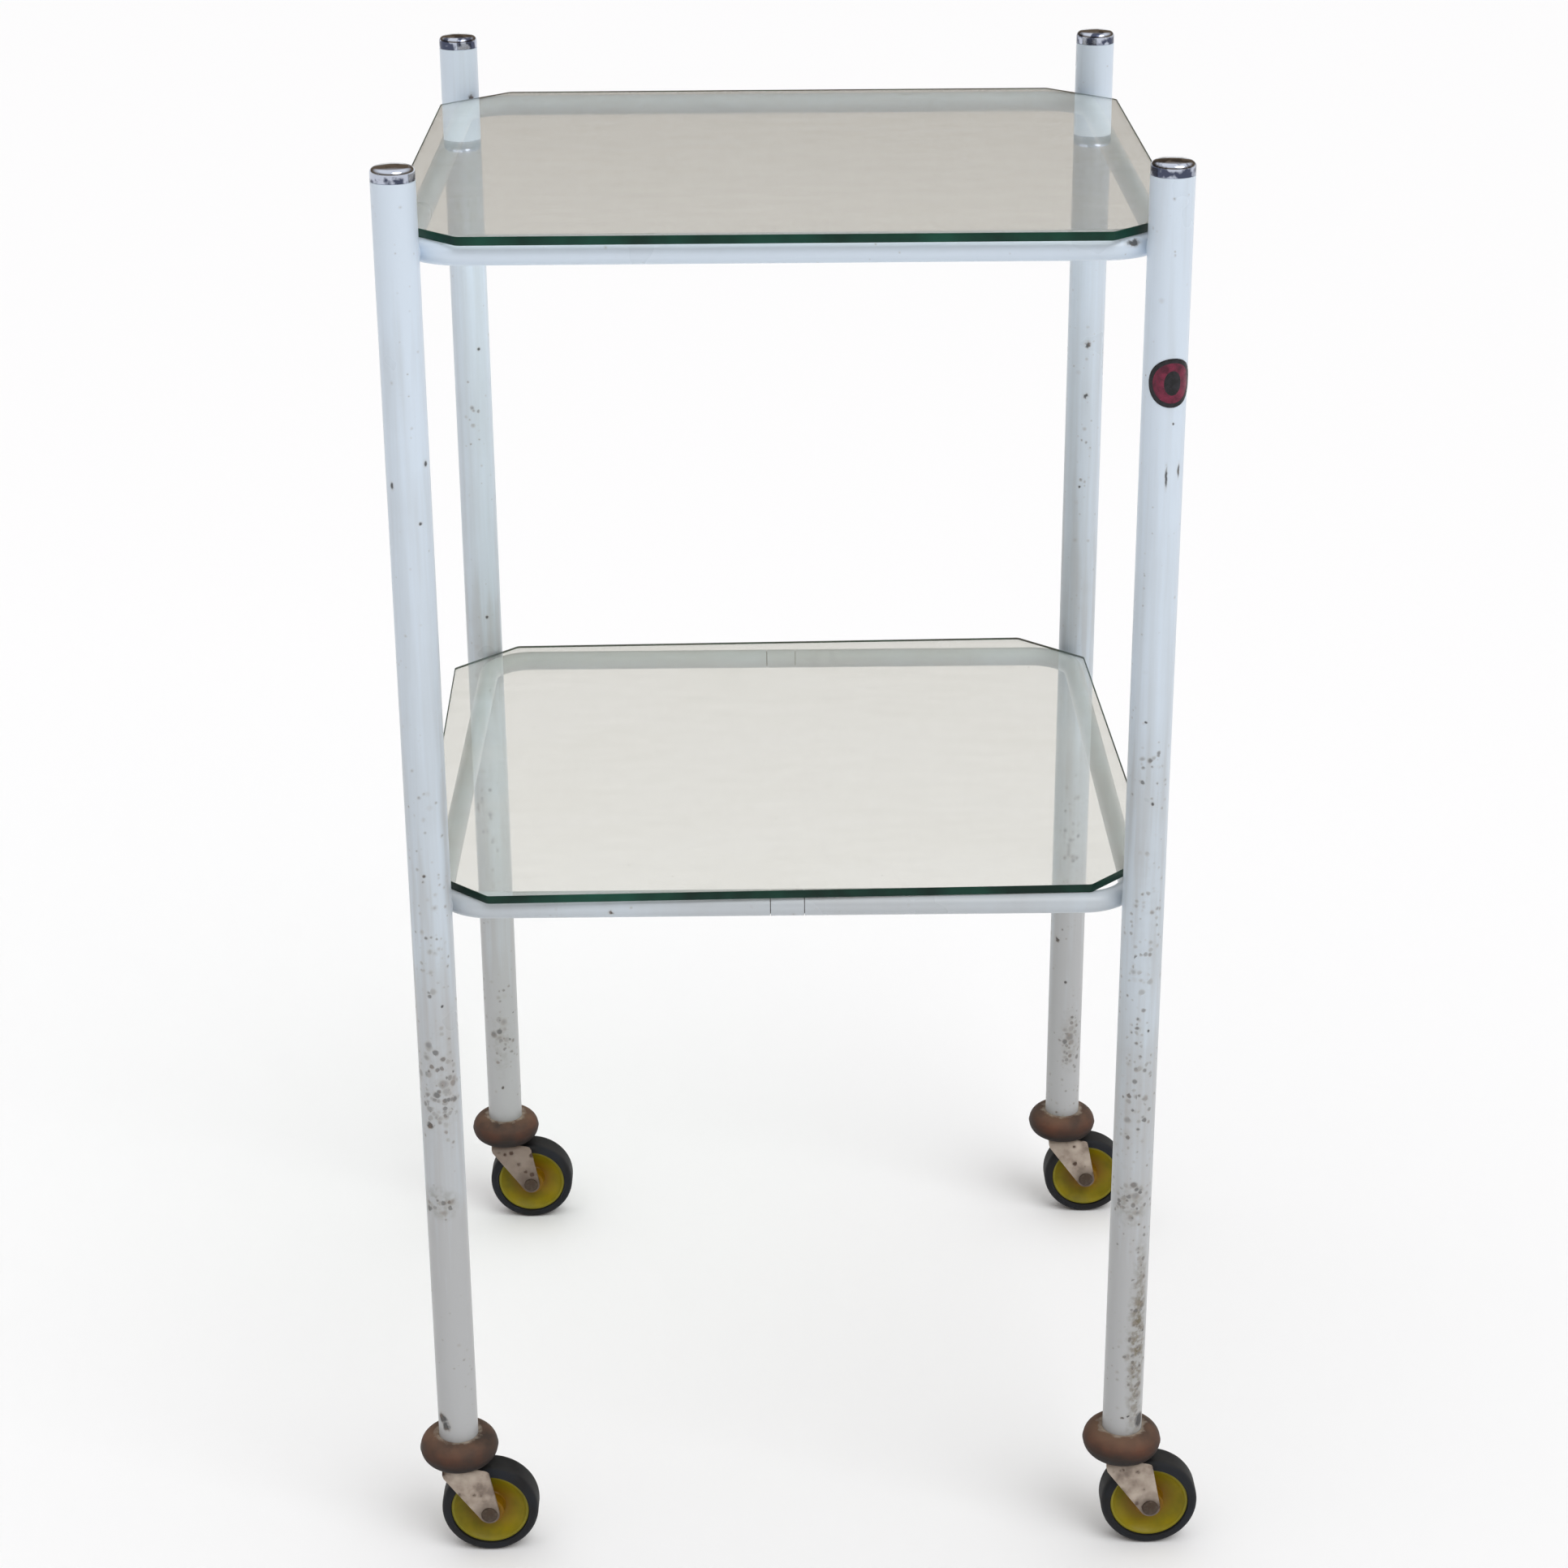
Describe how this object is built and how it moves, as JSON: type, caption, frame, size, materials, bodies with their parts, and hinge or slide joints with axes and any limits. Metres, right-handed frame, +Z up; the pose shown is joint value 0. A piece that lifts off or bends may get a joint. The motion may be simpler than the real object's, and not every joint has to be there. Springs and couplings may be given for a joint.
{
  "type": "utility trolley",
  "caption": "Square two-tier tube trolley: upright legs with domed caps, bent tube rings carrying loose glass plates, swivel casters with rubber buffer rings.",
  "frame": {"origin": "on the floor, under the middle of the whole trolley's outline with all four casters trailing to +X", "axes": "+Z up, -Y to the front that the picture shows, +X to the right as seen from the front"},
  "size_m": [0.4996, 0.475, 0.898],
  "materials": {
    "white_paint": "old bluish white stove enamel on steel tube, chipped",
    "cap_chrome": "bright plated, worn",
    "clear_glass": "clear float glass with ground edges",
    "brown_rubber": "aged reddish brown rubber",
    "plain_steel": "dull steel",
    "cream_paint": "old cream paint on pressed steel",
    "yellow_plastic": "mustard yellow moulding, dished",
    "bush_brass": "plain sleeve",
    "black_rubber": "solid rubber",
    "red_enamel": "red enamel with a dark rim, no lettering"
  },
  "bodies": {
    "frame": {"front_left_leg": "white_paint", "front_left_leg_cap": "cap_chrome", "front_left_buffer_ring": "brown_rubber", "front_left_caster_socket": "plain_steel", "front_right_leg": "white_paint", "front_right_leg_cap": "cap_chrome", "front_right_buffer_ring": "brown_rubber", "front_right_caster_socket": "plain_steel", "rear_left_leg": "white_paint", "rear_left_leg_cap": "cap_chrome", "rear_left_buffer_ring": "brown_rubber", "rear_left_caster_socket": "plain_steel", "rear_right_leg": "white_paint", "rear_right_leg_cap": "cap_chrome", "rear_right_buffer_ring": "brown_rubber", "rear_right_caster_socket": "plain_steel", "upper_ring_left_half": "white_paint", "upper_ring_right_half": "white_paint", "upper_ring_front_coupler": "white_paint", "upper_ring_rear_coupler": "white_paint", "upper_ring_welds": "white_paint", "lower_ring_left_half": "white_paint", "lower_ring_right_half": "white_paint", "lower_ring_front_coupler": "white_paint", "lower_ring_rear_coupler": "white_paint", "lower_ring_welds": "white_paint", "leg_badge": "red_enamel"},
    "upper_plate": {"upper_glass_plate": "clear_glass"},
    "lower_plate": {"lower_glass_plate": "clear_glass"},
    "front_left_swivel": {"front_left_caster_stem": "plain_steel", "front_left_swivel_rings": "plain_steel", "front_left_caster_fork": "cream_paint", "front_left_caster_axle": "plain_steel"},
    "front_left_wheel": {"front_left_wheel_disc": "yellow_plastic", "front_left_wheel_bush": "bush_brass", "front_left_tyre": "black_rubber"},
    "front_right_swivel": {"front_right_caster_stem": "plain_steel", "front_right_swivel_rings": "plain_steel", "front_right_caster_fork": "cream_paint", "front_right_caster_axle": "plain_steel"},
    "front_right_wheel": {"front_right_wheel_disc": "yellow_plastic", "front_right_wheel_bush": "bush_brass", "front_right_tyre": "black_rubber"},
    "rear_left_swivel": {"rear_left_caster_stem": "plain_steel", "rear_left_swivel_rings": "plain_steel", "rear_left_caster_fork": "cream_paint", "rear_left_caster_axle": "plain_steel"},
    "rear_left_wheel": {"rear_left_wheel_disc": "yellow_plastic", "rear_left_wheel_bush": "bush_brass", "rear_left_tyre": "black_rubber"},
    "rear_right_swivel": {"rear_right_caster_stem": "plain_steel", "rear_right_swivel_rings": "plain_steel", "rear_right_caster_fork": "cream_paint", "rear_right_caster_axle": "plain_steel"},
    "rear_right_wheel": {"rear_right_wheel_disc": "yellow_plastic", "rear_right_wheel_bush": "bush_brass", "rear_right_tyre": "black_rubber"}
  },
  "joints": [
    {"name": "upper_plate_lift", "type": "slide", "parent": "frame", "child": "upper_plate", "axis": [0, 0, 1], "range_m": [0, 0.06]},
    {"name": "lower_plate_lift", "type": "slide", "parent": "frame", "child": "lower_plate", "axis": [0, 0, 1], "range_m": [0, 0.3]},
    {"name": "front_left_swivel_turn", "type": "hinge", "parent": "frame", "child": "front_left_swivel", "pos_m": [-0.22475, -0.2125, 0.0675], "axis": [0, 0, 1], "continuous": true},
    {"name": "front_left_wheel_spin", "type": "hinge", "parent": "front_left_swivel", "child": "front_left_wheel", "pos_m": [-0.20625, -0.2125, 0.031], "axis": [0, 1, 0], "continuous": true},
    {"name": "front_right_swivel_turn", "type": "hinge", "parent": "frame", "child": "front_right_swivel", "pos_m": [0.20025, -0.2125, 0.0675], "axis": [0, 0, 1], "continuous": true},
    {"name": "front_right_wheel_spin", "type": "hinge", "parent": "front_right_swivel", "child": "front_right_wheel", "pos_m": [0.21875, -0.2125, 0.031], "axis": [0, 1, 0], "continuous": true},
    {"name": "rear_left_swivel_turn", "type": "hinge", "parent": "frame", "child": "rear_left_swivel", "pos_m": [-0.22475, 0.2125, 0.0675], "axis": [0, 0, 1], "continuous": true},
    {"name": "rear_left_wheel_spin", "type": "hinge", "parent": "rear_left_swivel", "child": "rear_left_wheel", "pos_m": [-0.20625, 0.2125, 0.031], "axis": [0, 1, 0], "continuous": true},
    {"name": "rear_right_swivel_turn", "type": "hinge", "parent": "frame", "child": "rear_right_swivel", "pos_m": [0.20025, 0.2125, 0.0675], "axis": [0, 0, 1], "continuous": true},
    {"name": "rear_right_wheel_spin", "type": "hinge", "parent": "rear_right_swivel", "child": "rear_right_wheel", "pos_m": [0.21875, 0.2125, 0.031], "axis": [0, 1, 0], "continuous": true}
  ]
}
